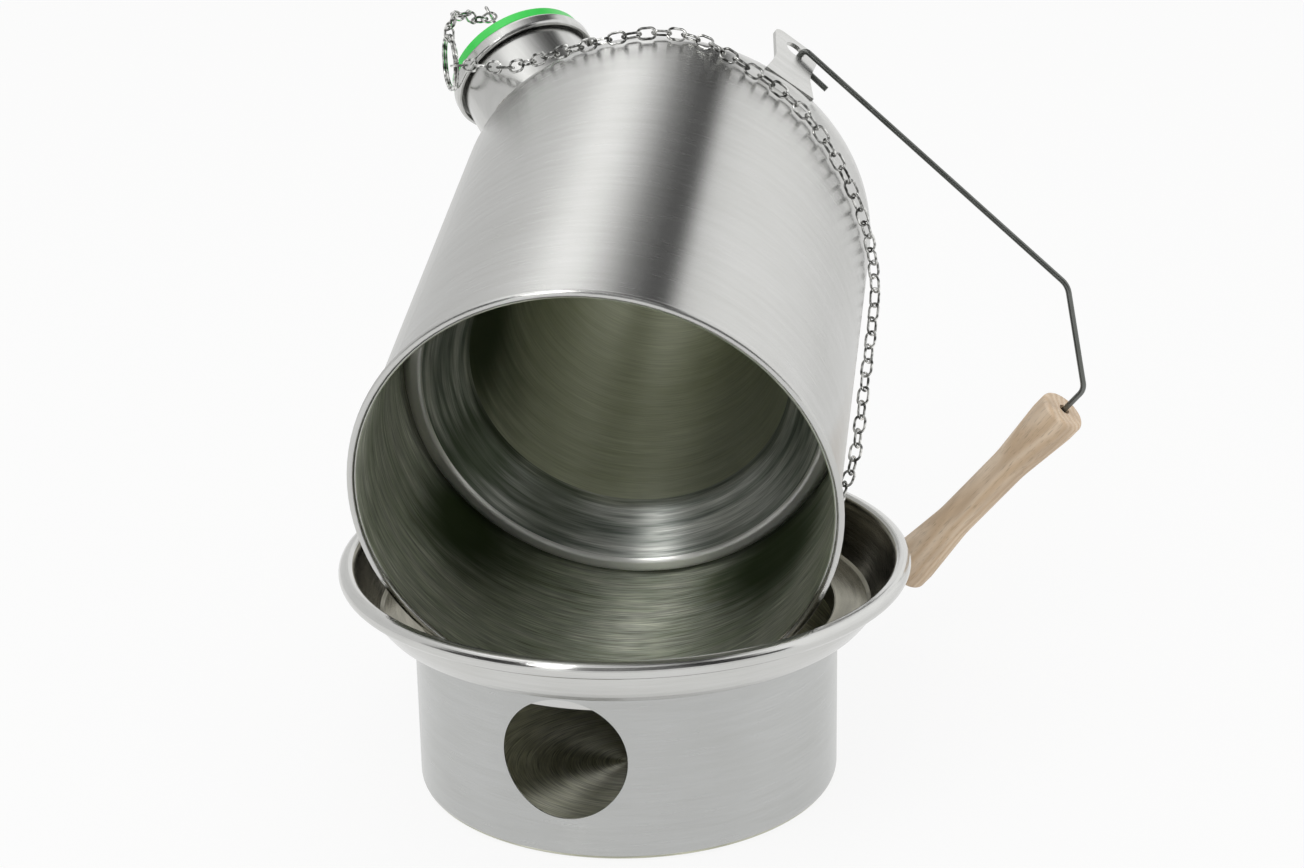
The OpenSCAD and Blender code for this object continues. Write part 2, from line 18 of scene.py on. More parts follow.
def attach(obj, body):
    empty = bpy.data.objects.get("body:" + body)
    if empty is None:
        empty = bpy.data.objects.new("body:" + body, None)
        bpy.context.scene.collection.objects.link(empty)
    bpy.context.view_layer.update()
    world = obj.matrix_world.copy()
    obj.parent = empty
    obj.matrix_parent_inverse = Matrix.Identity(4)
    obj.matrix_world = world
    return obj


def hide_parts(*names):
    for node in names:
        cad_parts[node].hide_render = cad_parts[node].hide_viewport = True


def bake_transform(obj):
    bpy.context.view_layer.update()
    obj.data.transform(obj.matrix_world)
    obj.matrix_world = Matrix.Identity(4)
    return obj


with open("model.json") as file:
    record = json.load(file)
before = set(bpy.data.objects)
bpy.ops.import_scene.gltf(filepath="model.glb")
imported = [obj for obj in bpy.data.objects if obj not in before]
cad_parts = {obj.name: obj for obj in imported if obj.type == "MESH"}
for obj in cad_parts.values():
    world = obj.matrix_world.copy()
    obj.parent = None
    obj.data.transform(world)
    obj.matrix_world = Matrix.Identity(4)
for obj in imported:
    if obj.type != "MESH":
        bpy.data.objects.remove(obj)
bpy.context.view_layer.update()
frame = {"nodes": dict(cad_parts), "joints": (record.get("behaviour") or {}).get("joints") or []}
nodes = frame["nodes"]
MM = 0.001

# %% [markdown]
# The camera comes first, because the picture is judged from it. It could be moved about until the
# view looks right. Here its place, its downward pitch and its slight roll, both in radians, were
# worked out from the round rims, whose real sizes are known. The focal length is written as pixels
# across a picture 1304 wide and turned into a lens for a 36 mm sensor.

# %% Camera
PICTURE_WIDTH = 1304
FOCAL_PIXELS = 2587.62
SENSOR_WIDTH = 36
PITCH = 0.3314
ROLL = -0.0179
EYE = Vector((9.524, -781.41, 384.715)) * MM

ahead = Vector((0, math.cos(PITCH), -math.sin(PITCH)))
above = Vector((0, math.sin(PITCH), math.cos(PITCH)))
side = Vector((1, 0, 0))
picture_right = side * math.cos(ROLL) + above * math.sin(ROLL)
picture_up = above * math.cos(ROLL) - side * math.sin(ROLL)

camera_data = bpy.data.cameras.new("camera")
camera_data.sensor_width = SENSOR_WIDTH
camera_data.lens = SENSOR_WIDTH * FOCAL_PIXELS / PICTURE_WIDTH
camera = bpy.data.objects.new("camera", camera_data)
camera.matrix_world = Matrix.Translation(EYE) @ Matrix(
    (picture_right, picture_up, -ahead)).transposed().to_4x4()
bpy.context.scene.collection.objects.link(camera)
bpy.context.scene.camera = camera
print("lens", round(camera_data.lens, 2), "mm")

# %% [markdown]
# A finish is a tree of shader nodes. It could be put together by hand in the Shader Editor, but as
# code it can be read through and changed in one place. Every colour is written as the sRGB hex
# value that one reads off a picture, and one function turns it into the linear value that a shader
# wants. One more function adds a node with its settings and its links, so that each finish below
# reads as a list of what it is made of.

# %% Colour
def linear(hex_code):
    """sRGB hex to linear RGBA: values below 0.04045 are divided by 12.92, the rest follow the
    2.4 power of (value + 0.055) / 1.055."""
    values = np.array([int(hex_code[i:i + 2], 16) for i in (1, 3, 5)]) / 255
    low = values / 12.92
    high = ((values + 0.055) / 1.055) ** 2.4
    return (*np.where(values < 0.04045, low, high), 1)


print("the mid grey #808080 is", round(float(linear("#808080")[0]), 3), "in linear light")

# %% Shader nodes
def add(tree, kind, *values, **named):
    """Adds one shader node, kind being its type without the ShaderNode in front. A name in small
    letters is one of the node's own settings, and a name with a capital is an input, with _ for a
    space. Values without a name fill the inputs in use, from the first one on. A value is a
    number, a colour, a vector, another node's output, or a node, which stands for its first
    output in use."""
    node = tree.nodes.new("ShaderNode" + kind)
    settings = {name: value for name, value in named.items() if name[0].islower()}
    for name, value in settings.items():
        setattr(node, name, value)
    pairs = list(zip([socket for socket in node.inputs if socket.enabled], values))
    pairs += [(node.inputs[name.replace("_", " ")], value) for name, value in named.items()
        if name not in settings]
    for socket, value in pairs:
        if isinstance(value, bpy.types.Node):
            value = next(output for output in value.outputs if output.enabled)
        if isinstance(value, bpy.types.NodeSocket):
            tree.links.new(value, socket)
        else:
            socket.default_value = value
    return node


def empty_tree(owner):
    """The node tree of a material or a world, with nothing in it yet."""
    owner.use_nodes = True
    owner.node_tree.nodes.clear()
    return owner.node_tree


def dress(material, *names):
    """Gives the material to the CAD nodes of these names."""
    for name in names:
        slots = nodes[name].data.materials
        slots.clear()
        slots.append(material)
    print(material.name, "on", ", ".join(names))


# %% [markdown]
# A new shape could be modelled with Blender's own tools. The ones here all follow a formula, so
# their points are worked out as a grid, and four neighbours in the grid make a face. A tube closes
# its grid both ways. A stack of grids makes one mesh of separate parts, such as a run of chain.

# %% Surfaces from grids
def surface(name, grids, closed=False):
    """A mesh from a grid of points, shape (u, v, 3), or from a stack of such grids. Where closed
    is true, the last row and column are joined to the first."""
    index = np.arange(grids[..., 0].size).reshape(-1, *grids.shape[-3:-1])
    if closed:
        index = np.concatenate([index, index[:, :1]], 1)
        index = np.concatenate([index, index[:, :, :1]], 2)
    quads = np.stack([index[:, :-1, :-1], index[:, 1:, :-1], index[:, 1:, 1:],
        index[:, :-1, 1:]], -1)
    data = bpy.data.meshes.new(name)
    data.from_pydata(grids.reshape(-1, 3).tolist(), [], quads.reshape(-1, 4).tolist())
    data.polygons.foreach_set("use_smooth", np.ones(len(data.polygons), bool))
    data.update()
    piece = bpy.data.objects.new(name, data)
    bpy.context.scene.collection.objects.link(piece)
    print(name, "has", len(data.polygons), "faces")
    return piece


# %% [markdown]
# The stage is a white floor in a white room. A product picture like this one is cut out on white,
# so the camera, mirrors and glass see a background of strength 1, while matt surfaces are lit by
# a weaker world and one soft lamp. Brighter lamps would make the floor white as well, but they
# would wash the kettle out. The floor keeps a pale shadow where the base stands, and mirrors see
# it a little below white.

# %% White room
WHITE = (1, 1, 1, 1)
MATT_LIGHT = 0.78


def sight_lines(tree):
    """Two outputs: 1 for the camera's own rays, and 1 for rays that a mirror or glass sends on."""
    path = add(tree, "LightPath").outputs
    sent_on = add(tree, "Math", path["Is Glossy Ray"], path["Is Transmission Ray"],
        operation="MAXIMUM")
    return path["Is Camera Ray"], sent_on


white_room = bpy.data.worlds.new("white_room")
bpy.context.scene.world = white_room
tree = empty_tree(white_room)
by_camera, by_mirrors = sight_lines(tree)
seen = add(tree, "Math", by_camera, by_mirrors, operation="MAXIMUM")
to_matt = add(tree, "Background", Color=WHITE, Strength=MATT_LIGHT)
to_eye = add(tree, "Background", Color=WHITE, Strength=1.0)
add(tree, "OutputWorld", Surface=add(tree, "MixShader", seen, to_matt, to_eye))
print("the room is 1 to the eye and", MATT_LIGHT, "to matt surfaces")

# %% Paper floor
FLOOR_HALF = 4.0
FLOOR_DROP = 0.3 * MM
SHADOW_SHARE = 0.13
MIRRORED_WHITE = 0.8

x, y = np.meshgrid([-FLOOR_HALF, FLOOR_HALF], [-FLOOR_HALF, FLOOR_HALF], indexing="ij")
floor = surface("floor", np.stack([x, y, np.full_like(x, -FLOOR_DROP)], -1))

# Background paper, pressed smooth and matt, which gives the eye an even white with no shine.
white_floor = bpy.data.materials.new("white_floor")
tree = empty_tree(white_floor)
by_camera, by_mirrors = sight_lines(tree)
for_camera = add(tree, "Math", by_camera, 1 - SHADOW_SHARE, operation="MULTIPLY")
for_mirrors = add(tree, "Math", by_mirrors, MIRRORED_WHITE, operation="MULTIPLY")
share = add(tree, "Math", for_camera, for_mirrors, operation="MAXIMUM")
paper = add(tree, "BsdfDiffuse", Color=linear("#F4F4F3"))
glow = add(tree, "Emission", Color=WHITE, Strength=1.0)
add(tree, "OutputMaterial", Surface=add(tree, "MixShader", share, paper, glow))
floor.data.materials.append(white_floor)

# %% [markdown]
# The kettle is drawn upright and then leaned back, so the brushing on its steel has to be worked
# out in the kettle's own upright frame. Worked out in the scene's frame, the grooves would run
# askew. The lean's three angles, in degrees, are those of the CAD source, and the rim's centre is
# where that source puts the upright kettle's origin. A frame also says which way its cones open, 1
# for upwards and -1 for downwards, because the grooves are counted along them.

# %% Frames in which the sheets were spun
RIM_CENTRE = Vector((-8.54, -59.22, 113.13)) * MM
LEAN_HEADING = -8.20
LEAN_ANGLE = -75.37
LEAN_SPIN = -142.5

SpunFrame = namedtuple("SpunFrame", "origin turn axis opens")
LEAN = (Matrix.Rotation(math.radians(LEAN_HEADING), 3, "Z")
    @ Matrix.Rotation(math.radians(LEAN_ANGLE), 3, "X")
    @ Matrix.Rotation(math.radians(LEAN_SPIN), 3, "Z"))
KETTLE_AXIS = LEAN @ Vector((0, 0, 1))
KETTLE_FRAME = SpunFrame(RIM_CENTRE, LEAN, KETTLE_AXIS, -1.0)
BASE_FRAME = SpunFrame(Vector((0, 0, 0)), Matrix.Identity(3), Vector((0, 0, 1)), 1.0)
print("kettle axis", [round(value, 4) for value in KETTLE_AXIS])

# %% [markdown]
# Polished and brushed metal shows its surroundings more than its own colour, so most of this
# studio is there to be mirrored. Lamps alone would leave the steel flat and grey. Three curved
# cards are painted in tones, from black to brighter than paper. The first runs along the kettle
# behind it, parallel to its axis, because brushing smears a reflection along the axis: its bright
# strip gives the bright streak on the body, and its black one the dark streak. The second stands
# in front like a dark room, for the inside of the kettle and the thin dark lines along its rims.
# The third is a tall window in that room, much brighter than paper, which lights the inside. Only
# mirrors see the cards, so they hide nothing from any side.

# %% Cards to be mirrored
KETTLE_MIDDLE = Vector((5, 35, 140)) * MM
CARD_STEPS = 181


def graded_card(name, axis, facing, radius, reach, tones):
    """A card bent round axis through the kettle's middle: its point at turn t is radius times
    (facing cos t + (axis x facing) sin t), moved along the axis by reach. tones lists turns in
    degrees with the tone there, 1 being white paper."""
    turns, values = np.array(tones).T
    turn = np.linspace(turns[0], turns[-1], CARD_STEPS)
    front, along = np.array(facing), np.array(axis)
    arc = (np.cos(np.radians(turn))[:, None] * front
        + np.sin(np.radians(turn))[:, None] * np.cross(along, front)) * radius
    ends = np.array(reach)[:, None] * along
    card = surface(name, arc[:, None] + ends[None] + np.array(KETTLE_MIDDLE))
    tone = card.data.attributes.new("tone", "FLOAT", "POINT")
    tone.data.foreach_set("value", np.repeat(np.interp(turn, turns, values), len(ends)))
    paint = bpy.data.materials.new(name)
    tree = empty_tree(paint)
    painted = add(tree, "Attribute", attribute_name="tone").outputs["Fac"]
    add(tree, "OutputMaterial", Surface=add(tree, "Emission", Color=WHITE, Strength=painted))
    card.data.materials.append(paint)
    card.visible_camera = card.visible_diffuse = card.visible_shadow = False
    card.visible_transmission = False


UP = (Vector((0, 0, 1)) - KETTLE_AXIS * KETTLE_AXIS.z).normalized()
BEHIND_TONES = [(-115, 0.78), (-64, 0.78), (-46, 0.88), (-37, 1.2), (-27, 1.5), (-17, 1.3),
    (-6, 0.75), (4, 0.3), (15, 0.1), (24, 0.08), (28, 0.4), (32, 1.0), (50, 1.14), (70, 1.14),
    (108, 1.0)]
FRONT_TONES = [(-90, 0.8), (-66, 0.03), (-44, 0.04), (-34, 0.2), (-31, 1.6), (-24, 1.6),
    (-20, 0.4), (-12, 0.22), (0, 0.22), (18, 0.14), (30, 0.03), (60, 0.02), (90, 0.8)]
WINDOW_TONES = [(-40, 9.0), (-26, 9.0)]
graded_card("card_behind", KETTLE_AXIS, facing=UP, radius=0.91, reach=(-0.3, 4.2),
    tones=BEHIND_TONES)
graded_card("card_in_front", (0, 0, 1), facing=(0, -1, 0), radius=1.6, reach=(0.05, 1.9),
    tones=FRONT_TONES)
graded_card("tall_window", (0, 0, 1), facing=(0, -1, 0), radius=1.45, reach=(0.95, 2.2),
    tones=WINDOW_TONES)

# %% [markdown]
# One soft lamp, high in front and to the left, gives the wood and the plastic their form. Metal
# doesn't mirror it, because a lamp's square edge would show in the steel. Its power is worked out
# from its area, so that its brightness stays when its size is changed.

# %% Soft lamp
LAMP_TURN = math.radians(-25)
LAMP_HEIGHT = math.radians(48)
LAMP_DISTANCE = 1.9
LAMP_SIZE = (1.4, 1.0)
LAMP_BRIGHTNESS = 1.6

lamp_data = bpy.data.lights.new("front_lamp", "AREA")
lamp_data.shape = "RECTANGLE"
lamp_data.size, lamp_data.size_y = LAMP_SIZE
lamp_data.energy = LAMP_BRIGHTNESS * math.pi * LAMP_SIZE[0] * LAMP_SIZE[1]
lamp = bpy.data.objects.new("front_lamp", lamp_data)
lamp_way = Vector((math.sin(LAMP_TURN) * math.cos(LAMP_HEIGHT),
    -math.cos(LAMP_TURN) * math.cos(LAMP_HEIGHT), math.sin(LAMP_HEIGHT)))
lamp.location = KETTLE_MIDDLE + lamp_way * LAMP_DISTANCE
lamp.rotation_euler = lamp_way.to_track_quat("Z", "Y").to_euler()
lamp.visible_glossy = False
bpy.context.scene.collection.objects.link(lamp)
print("lamp of", round(lamp_data.energy, 1), "W at", [round(value, 2) for value in lamp.location])

# %% [markdown]
# Stainless steel sheet is brushed round and round while it spins, which leaves fine grooves along
# the circumference. A picture of brushed sheet would need unwrapping and would show a seam, so the
# grooves are noise, squeezed across and stretched along, in the frame in which the sheet was spun.
# The real grooves are a twentieth of a millimetre apart, too fine to show here, so they are drawn
# 0.4 mm apart and 12 mm long. Broader bands and soft clouds, from uneven pressure, lie over them.

# %% Grooves
GROOVE_SPACING = 0.4 * MM
GROOVE_LENGTH = 12 * MM
GROOVE_DEPTH = 0.02 * MM
GROOVE_STRENGTH = 0.09
BAND_SPACING = 3 * MM
BAND_LENGTH = 3 * GROOVE_LENGTH
CLOUD_SIZE = 28.57 * MM


def streaks(tree, place, across, spacing, length, detail):
    """Noise from 0 to 1, read at (x / length, y / length, across / spacing), so that it is
    squeezed across the grooves and stretched along them."""
    part = add(tree, "SeparateXYZ", place).outputs
    x, y, z = (add(tree, "Math", value, 1 / size, operation="MULTIPLY")
        for value, size in ((part[0], length), (part[1], length), (across, spacing)))
    return add(tree, "TexNoise", add(tree, "CombineXYZ", x, y, z), Scale=1.0, Detail=detail)


print("grooves", GROOVE_SPACING / MM, "mm apart and", GROOVE_LENGTH / MM, "mm long")

# %% Places on a spun sheet
Sheet = namedtuple("Sheet", "spot place height flat radius across normal")


def on_the_sheet(tree, spun):
    """Where a point lies on a spun sheet: its spot on the object, its place and height in the
    spun frame, that place laid flat, its radius, which is the flat place's length, its height
    plus opens times its radius, which runs across the grooves, and its normal."""
    spot = add(tree, "TexCoord").outputs["Object"]
    place = add(tree, "Mapping", spot, vector_type="TEXTURE", Location=spun.origin,
        Rotation=spun.turn.to_euler())
    x, y, height = add(tree, "SeparateXYZ", place).outputs
    flat = add(tree, "CombineXYZ", x, y)
    radius = add(tree, "VectorMath", flat, operation="LENGTH")
    outward = add(tree, "Math", radius, spun.opens, operation="MULTIPLY")
    across = add(tree, "Math", height, outward, operation="ADD")
    normal = add(tree, "NewGeometry").outputs["Normal"]
    return Sheet(spot, place, height, flat, radius, across, normal)


# %% [markdown]
# Grooves smear a highlight across themselves, so the shader is anisotropic, and its tangent has to
# run along the sheet from rim to rim. The axis crossed with the way out from it runs round the
# sheet, and that direction crossed with the normal runs over it, on walls, cones and floors alike.
# A UV map could give a tangent too, but a CAD solid has none.

# %% Direction of the smear
def over_the_sheet(tree, spun, sheet):
    """The unit vector of (axis x way out) x normal."""
    way_out = add(tree, "VectorMath", sheet.spot, spun.origin, operation="SUBTRACT")
    round_it = add(tree, "VectorMath", spun.axis, way_out, operation="CROSS_PRODUCT")
    over = add(tree, "VectorMath", round_it, sheet.normal, operation="CROSS_PRODUCT")
    return add(tree, "VectorMath", over, operation="NORMALIZE")


# %% [markdown]
# Inside, the steel is left duller and a little green. Each sheet is one thin solid with a face on
# either side, and it could be cut into two pieces to be painted. It stays whole here, and the
# shader tells the faces apart: those of a can by their distance from the axis, and those of the
# bowl, whose wall flares, by the way they look.

# %% Inside and outside
LOOKS_IN = 6 * MM
LOOKS_UP = 0.5


def outside_can(tree, sheet, wall_radius, floor_height=None):
    """1 where the radius is over wall_radius or the height under floor_height, 0 inside."""
    outside = add(tree, "Math", sheet.radius, wall_radius, operation="GREATER_THAN")
    if floor_height is None:
        return outside
    under = add(tree, "Math", sheet.height, floor_height, operation="LESS_THAN")
    return add(tree, "Math", outside, under, operation="MAXIMUM")


def outside_bowl(tree, sheet, lip_radius):
    """0 within lip_radius where the normal looks up, or looks in: there its dot product with the
    flat place is under minus LOOKS_IN. 1 elsewhere."""
    outward = add(tree, "VectorMath", sheet.normal, sheet.flat, operation="DOT_PRODUCT")
    looks_in = add(tree, "Math", outward, -LOOKS_IN, operation="LESS_THAN")
    upright = add(tree, "SeparateXYZ", sheet.normal).outputs["Z"]
    looks_up = add(tree, "Math", upright, LOOKS_UP, operation="GREATER_THAN")
    open_face = add(tree, "Math", looks_in, looks_up, operation="MAXIMUM")
    within = add(tree, "Math", sheet.radius, lip_radius, operation="LESS_THAN")
    bowl = add(tree, "Math", open_face, within, operation="MULTIPLY")
    return add(tree, "Math", 1.0, bowl, operation="SUBTRACT")


# %% [markdown]
# Dark green patches of painted shade lie inside the kettle, where shade falls. They could be a
# painted mask, but soft balls of
# colour are enough: each has a middle in the kettle's frame and a size, both in millimetres, and a
# strength, and clouds make its edge ragged. A ball doesn't stop at the thin wall, so the two there
# darken its outside as well, on the kettle's underside. On the ring, the rolled edge next to the
# wall is smoother and painted pale, a painted highlight.

# %% Painted shade, and a painted highlight on the bead
# Painted shade: a dark green laid inside the kettle where shade falls.
PAINTED_SHADE_COLOUR = "#3A4A28"
PAINTED_SHADE_CORE = 0.25
# Painted highlight: a pale colour along the ring's rolled edge, which stands for the light it
# catches.
PAINTED_HIGHLIGHT_COLOUR = "#F2F2EE"
BEAD_ROUGHNESS = 0.34


def with_painted_shade(tree, sheet, worn, colour, middle, size, strength):
    """The colour under one ball of painted shade. Its share is strength near the middle, out to a
    set core part of the size, and falls smoothly to 0 at the size, with distances times worn + 0.5."""
    apart = add(tree, "VectorMath", sheet.place, Vector(middle) * MM, operation="DISTANCE")
    uneven = add(tree, "Math", worn, 0.5, operation="ADD")
    ragged = add(tree, "Math", apart, uneven, operation="MULTIPLY")
    shade_patch = add(tree, "MapRange", ragged, PAINTED_SHADE_CORE * size * MM, size * MM, strength, 0.0,
        interpolation_type="SMOOTHSTEP")
    return add(tree, "Mix", shade_patch, colour, linear(PAINTED_SHADE_COLOUR), data_type="RGBA")


def with_painted_highlight(tree, sheet, colour, rough, painted_highlight_radius):
    """The colour and roughness with the bead's painted highlight and its own roughness wherever the
    radius is over the given one.
    """
    bead = add(tree, "Math", sheet.radius, painted_highlight_radius, operation="GREATER_THAN")
    return (add(tree, "Mix", bead, colour, linear(PAINTED_HIGHLIGHT_COLOUR), data_type="RGBA"),
        add(tree, "Mix", bead, rough, BEAD_ROUGHNESS, data_type="FLOAT"))


# %% [markdown]
# One function now puts the brushed finish together. A look holds what differs from sheet to sheet:
# a bright and a dull colour, which bands and clouds mix, the roughness between groove and ridge,
# and how strongly the grooves show as light and dark.

# %% Brushed steel
# Noise keeps near its middle, so these parts of it are spread over the whole scale.
TONE_RANGE = (0.3, 0.7)
ROUGH_RANGE = (0.25, 0.75)
GROOVE_SHADE = (-1.0, 0.5)

Look = namedtuple("Look", "bright dull rough contrast")


def brushed(tree, look, worn, fine):
    """The colour and the roughness of a look, from its bands and its grooves."""
    tone = add(tree, "MapRange", worn, *TONE_RANGE)
    return (add(tree, "Mix", tone, linear(look.dull), linear(look.bright), data_type="RGBA"),
        add(tree, "MapRange", fine, *ROUGH_RANGE, *look.rough))


def brushed_steel(name, spun, look, inside=None, outside=None, smear=0.86, clouds=0.5, painted_shade_patches=(),
        painted_highlight_radius=None):
    """Steel brushed round the axis of its spun frame. Where the mask outside is 0, it has the look
    inside. smear is how anisotropic it is, and clouds their share beside the bands. The colour is
    multiplied by 1 + contrast times the groove's shade. The patches are balls of painted shade, and
    the last argument is the radius where a painted highlight on the ring's edge begins."""
    steel = bpy.data.materials.new(name)
    tree = empty_tree(steel)
    sheet = on_the_sheet(tree, spun)
    fine = streaks(tree, sheet.place, sheet.across, GROOVE_SPACING, GROOVE_LENGTH, detail=3.0)
    bands = streaks(tree, sheet.place, sheet.across, BAND_SPACING, BAND_LENGTH, detail=2.0)
    cloud = add(tree, "TexNoise", sheet.place, Scale=1 / CLOUD_SIZE, Detail=3.0)
    worn = add(tree, "Mix", clouds, bands, cloud, data_type="FLOAT")
    colour, rough = brushed(tree, look, worn, fine)
    contrast = look.contrast
    if inside:
        share = outside(tree, sheet)
        inner_colour, inner_rough = brushed(tree, inside, worn, fine)
        colour = add(tree, "Mix", share, inner_colour, colour, data_type="RGBA")
        rough = add(tree, "Mix", share, inner_rough, rough, data_type="FLOAT")
        contrast = add(tree, "Mix", share, inside.contrast, contrast, data_type="FLOAT")
    shade = add(tree, "MapRange", fine, *TONE_RANGE, *GROOVE_SHADE)
    shown = add(tree, "Math", shade, contrast, operation="MULTIPLY")
    grain = add(tree, "Math", shown, 1.0, operation="ADD")
    colour = add(tree, "VectorMath", colour, grain, operation="SCALE")
    for shade_patch in painted_shade_patches:
        colour = with_painted_shade(tree, sheet, worn, colour, *shade_patch)
    if painted_highlight_radius:
        colour, rough = with_painted_highlight(tree, sheet, colour, rough, painted_highlight_radius)
    dent = add(tree, "Bump", Height=fine, Strength=GROOVE_STRENGTH, Distance=GROOVE_DEPTH)
    shader = add(tree, "BsdfPrincipled", Base_Color=colour, Metallic=1.0, Roughness=rough,
        Normal=dent, Tangent=over_the_sheet(tree, spun, sheet), Anisotropic=smear)
    add(tree, "OutputMaterial", Surface=shader)
    return steel


# %% [markdown]
# The kettle's wall, flue and ring are stainless steel, each spun and brushed in its own way. The
# small fittings are pressed and only wiped. Each could have its own tree of nodes, but the same
# function makes them all, because they differ in their numbers alone.

# %% Steel of the wall
# Stainless steel sheet, rolled up, welded and finely brushed. Outside it gives long clean streaks
# from rim to shoulder, and inside, where nobody polishes it, a soft greenish grey with two dark
# green patches of painted shade.
kettle_steel = brushed_steel("brushed_kettle_steel", KETTLE_FRAME,
    Look("#CDCDCB", "#C4C4C1", rough=(0.22, 0.28), contrast=0.04),
    inside=Look("#D9DBCE", "#A3AC92", rough=(0.56, 0.7), contrast=0.5),
    outside=partial(outside_can, wall_radius=72.4 * MM),
    painted_shade_patches=[((14, -70.5, 55), 34, 0.95), ((-71, -12, 52), 36, 0.9)])
dress(kettle_steel, "body_shell")

# %% Steel of the flue
# Stainless steel cone, spun and coarsely brushed, then heated: dull and pale, with little streak,
# and one dark green patch of painted shade.
flue_steel = brushed_steel("dull_flue_steel", KETTLE_FRAME,
    Look("#E0E2D2", "#CBCEB9", rough=(0.36, 0.48), contrast=0.18),
    painted_shade_patches=[((44, -24, 94), 44, 0.9)])
dress(flue_steel, "flue")

# %% Steel of the ring
# Stainless steel ring, turned with a coarse tool: clear light and dark grooves, with two patches of
# painted shade and a painted highlight on its rolled edge.
ring_steel = brushed_steel("smoked_ring_steel", KETTLE_FRAME,
    Look("#F0F1EC", "#848B84", rough=(0.34, 0.48), contrast=0.35), clouds=0.0,
    painted_shade_patches=[((22, -50, 71), 28, 0.8), ((-8, -54, 71), 18, 0.5)], painted_highlight_radius=64.6 * MM)
dress(ring_steel, "jacket_floor")

# %% Steel of the fittings
# Stainless steel fittings, pressed and wiped: smoother, with a highlight that is hardly smeared.
fitting_steel = brushed_steel("pressed_fitting_steel", KETTLE_FRAME,
    Look("#D0D0CE", "#BFBFBC", rough=(0.16, 0.28), contrast=0.04), smear=0.3)
dress(fitting_steel, "shoulder_top", "chimney_collar", "ear_near", "ear_far", "chain_lug",
    "spout_tube")

# %% [markdown]
# The fire base is a plain can with a flared collar on it. One finish could serve for both, but the
# collar is spun to a higher shine, so its bowl mirrors the kettle above it and looks dark.

# %% Steel of the base can
# Stainless steel can, pressed and brushed: an even satin grey, and a paler, rougher inside.
base_steel = brushed_steel("brushed_base_steel", BASE_FRAME,
    Look("#BFC0BF", "#B8B9B7", rough=(0.22, 0.28), contrast=0.04),
    inside=Look("#E9E8DB", "#B4B59C", rough=(0.34, 0.46), contrast=0.5),
    outside=partial(outside_can, wall_radius=68.7 * MM, floor_height=0.3 * MM))
dress(base_steel, "base_drum")

# %% Steel of the collar
# Stainless steel collar, spun over a form and polished: near a mirror, with a warm brown bowl.
collar_steel = brushed_steel("spun_collar_steel", BASE_FRAME,
    Look("#D2D2D0", "#C8C8C5", rough=(0.14, 0.2), contrast=0.04),
    inside=Look("#B3AFA0", "#6C6A5C", rough=(0.16, 0.26), contrast=0.12),
    outside=partial(outside_bowl, lip_radius=88 * MM))
dress(collar_steel, "base_collar")

# %% [markdown]
# The bail is drawn steel wire, which leaves the die dark and satin. The chain is cheap plated wire,
# bright, and its dark spots and bright spots are painted reflections and painted glints. Drawing
# marks could be put on both, but at their size a light mottling is all that shows.

# %% Wire and chain
MOTTLE_RANGE = (0.35, 0.65)
MOTTLE_DEPTH = 0.03 * MM
MOTTLE_STRENGTH = 0.06


def plain_metal(name, bright, dull, roughness, grain):
    """Metal with mottled colour and shine. Noise with spots as wide as grain mixes the two
    colours, sets the roughness and dents the surface a little."""
    metal = bpy.data.materials.new(name)
    tree = empty_tree(metal)
    spot = add(tree, "TexCoord").outputs["Object"]
    cloud = add(tree, "TexNoise", spot, Scale=1 / grain, Detail=1.0)
    tone = add(tree, "MapRange", cloud, *MOTTLE_RANGE)
    colour = add(tree, "Mix", tone, linear(dull), linear(bright), data_type="RGBA")
    rough = add(tree, "MapRange", cloud, *TONE_RANGE, *roughness)
    dent = add(tree, "Bump", Height=cloud, Strength=MOTTLE_STRENGTH, Distance=MOTTLE_DEPTH)
    shader = add(tree, "BsdfPrincipled", Base_Color=colour, Metallic=1.0, Roughness=rough,
        Normal=dent)
    add(tree, "OutputMaterial", Surface=shader)
    return metal


# Steel wire, drawn through a die and left bare: dark grey, with a soft sheen along it.
bail_metal = plain_metal("drawn_steel_wire", "#747673", "#686A66", (0.3, 0.36), grain=9 * MM)
dress(bail_metal, "bail_wire")

# Steel chain wire, bright plated. Its light and dark spots are painted glints and painted
# reflections, which stand for what the links mirror of each other.
chain_metal_with_painted_reflections = plain_metal("plated_chain_wire_painted_reflections", "#E6E6E3", "#50514E", (0.03, 0.1), grain=2 * MM)
dress(chain_metal_with_painted_reflections, "stopper_eye", "tether_links", "split_ring", "chain_front", "chain_side",
    "chain_back", "chain_end_ring")

# %% [markdown]
# The grip is turned from pale beech and left without varnish. A picture of wood would repeat and
# wouldn't join up at the ends, so the wood is solid: growth rings lie round a heart line beside the
# grip, so its sides show long arches and its ends show arcs. Short dark flecks along the grain are
# the wood's pores, drawn about three times too wide so that they show. Handling leaves broad grey
# patches. The grip's middle and axis are those of the joint on which it spins.

# %% Places in the wood
grip_joint = next(joint for joint in frame["joints"] if joint["name"] == "grip_spin")
GRIP_MIDDLE = Vector(grip_joint["pos_m"])
GRIP_AXIS = Vector(grip_joint["axis"])
HEART = Vector((14, 6, 0)) * MM
RING_WIDTH = 2.2 * MM
RING_SLOPE = 0.06
WAVER_SIZE = 11.11 * MM
WAVER = 2.5 * RING_WIDTH
GRAIN_STRETCH = 0.18

turned_wood = bpy.data.materials.new("turned_beech")
tree = empty_tree(turned_wood)
spot = add(tree, "TexCoord").outputs["Object"]
grip_turn = Vector((0, 0, 1)).rotation_difference(GRIP_AXIS).to_euler()
place = add(tree, "Mapping", spot, vector_type="TEXTURE", Location=GRIP_MIDDLE,
    Rotation=grip_turn)
x, y, along_grip = add(tree, "SeparateXYZ", place).outputs
stretched = add(tree, "Math", along_grip, GRAIN_STRETCH, operation="MULTIPLY")
drift = add(tree, "CombineXYZ", x, y, stretched)
print("grip at", [round(value / MM, 1) for value in GRIP_MIDDLE], "mm")

